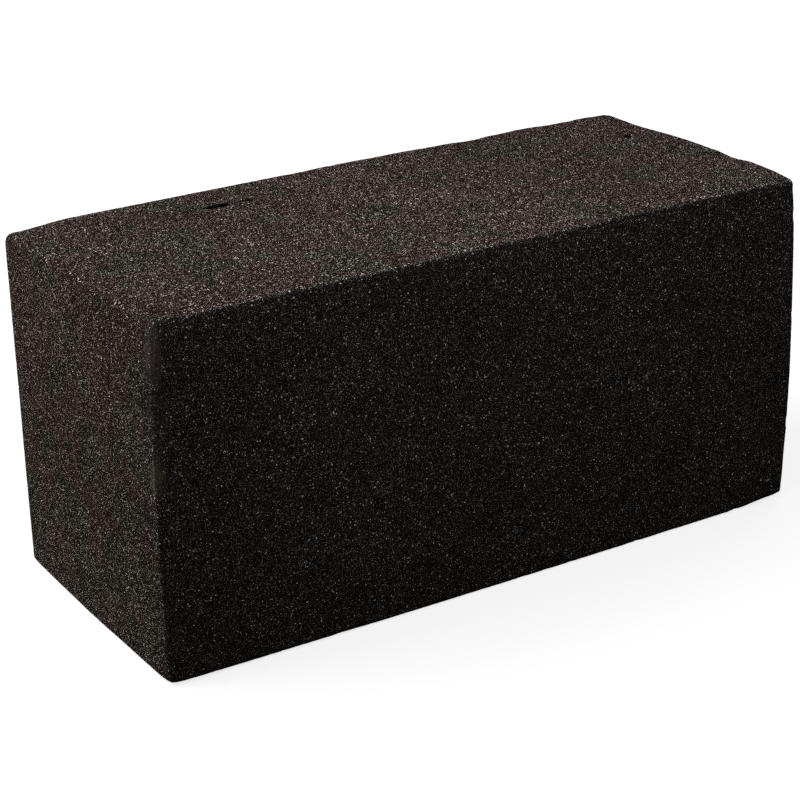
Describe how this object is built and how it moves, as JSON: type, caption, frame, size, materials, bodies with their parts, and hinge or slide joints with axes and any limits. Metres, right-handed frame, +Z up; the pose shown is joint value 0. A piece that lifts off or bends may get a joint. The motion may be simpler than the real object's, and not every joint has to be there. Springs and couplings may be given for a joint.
{
  "type": "grill cleaning brick",
  "caption": "Solid block of black foamed glass for scouring a griddle, with crisp arrises, rubbed corners, a slightly swollen right end, a few open cells on top and a flat base.",
  "frame": {"origin": "middle of the sawn base", "axes": "+X along the block to its right end, +Y across it to the back, +Z up from the base"},
  "size_m": [0.2045, 0.0888, 0.0993],
  "materials": {
    "foamed_glass": "matte"
  },
  "bodies": {
    "root": {"brick": "foamed_glass"}
  },
  "joints": []
}
